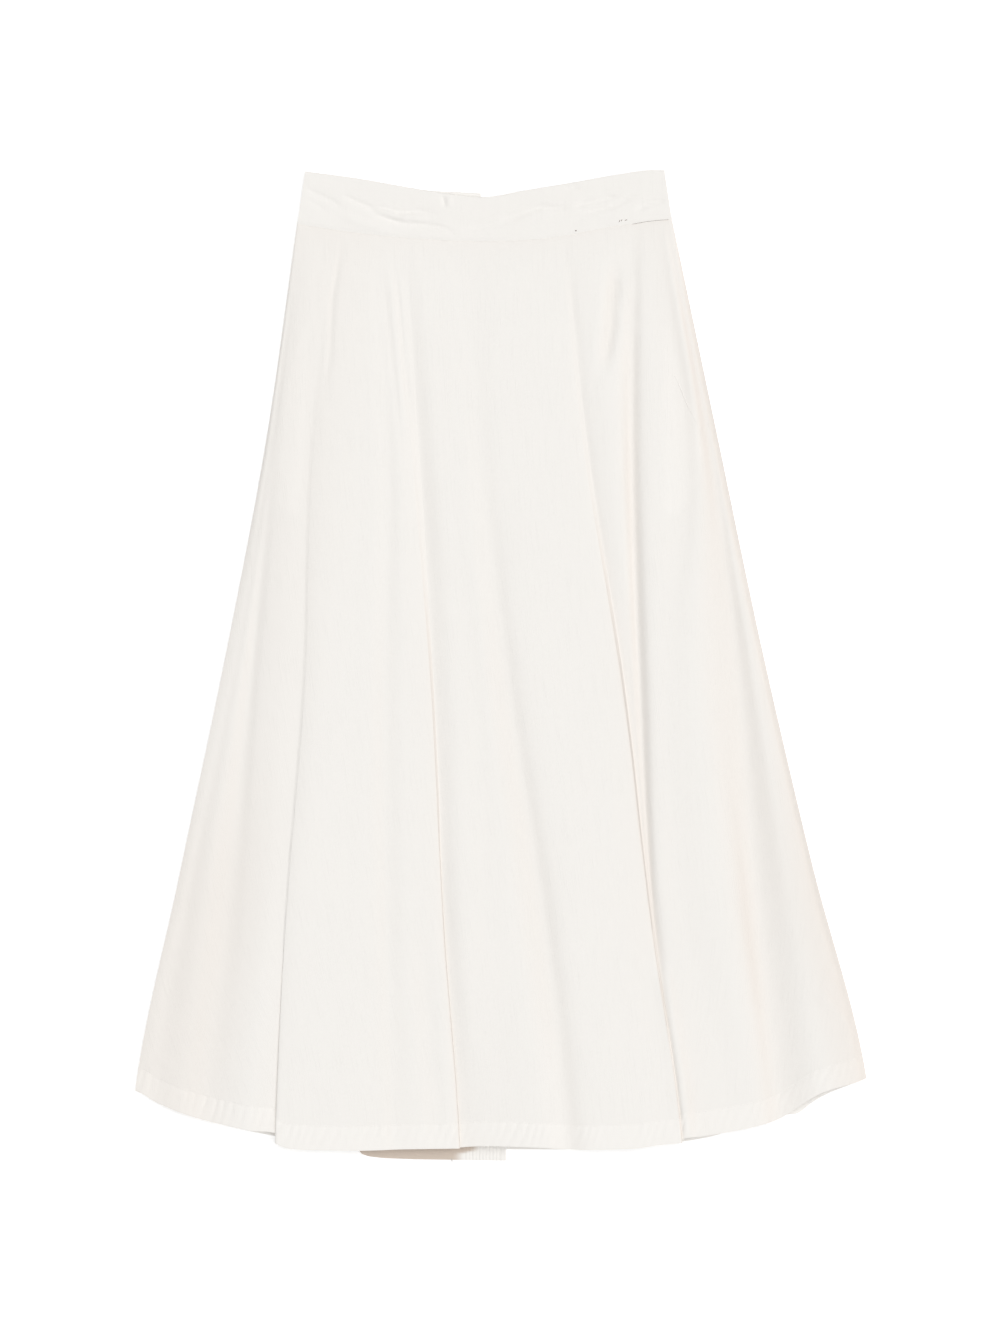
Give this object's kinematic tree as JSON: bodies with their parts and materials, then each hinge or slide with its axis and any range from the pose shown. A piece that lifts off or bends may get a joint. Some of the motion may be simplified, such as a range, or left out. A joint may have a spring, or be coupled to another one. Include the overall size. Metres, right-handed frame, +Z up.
{
  "type": "maxi skirt laid flat",
  "caption": "Long flared skirt of plain woven cotton, laid flat with its front up: a flat waistband, pleats below it and soft folds that widen towards a turned-up hem.",
  "frame": {"origin": "middle of the skirt's outline, on the surface that it lies on", "axes": "+Z up out of the front of the skirt, +Y towards the waist, +X towards the wearer's left side"},
  "size_m": [0.6952, 0.9411, 0.0127],
  "materials": {
    "skirt_cotton": "matt plain-woven cotton, warm white",
    "waistband_cotton": "matt double cotton with stiffening inside",
    "pocket_cotton": "thin matt cotton",
    "zip_tape": "woven tape of a concealed zip"
  },
  "bodies": {
    "root": {"front_panel": "skirt_cotton", "back_left_panel": "skirt_cotton", "back_right_panel": "skirt_cotton", "waistband_front": "waistband_cotton", "waistband_back_left": "waistband_cotton", "waistband_back_right": "waistband_cotton", "pocket_bag_left": "pocket_cotton", "pocket_bag_right": "pocket_cotton", "back_zip": "zip_tape"}
  },
  "joints": []
}
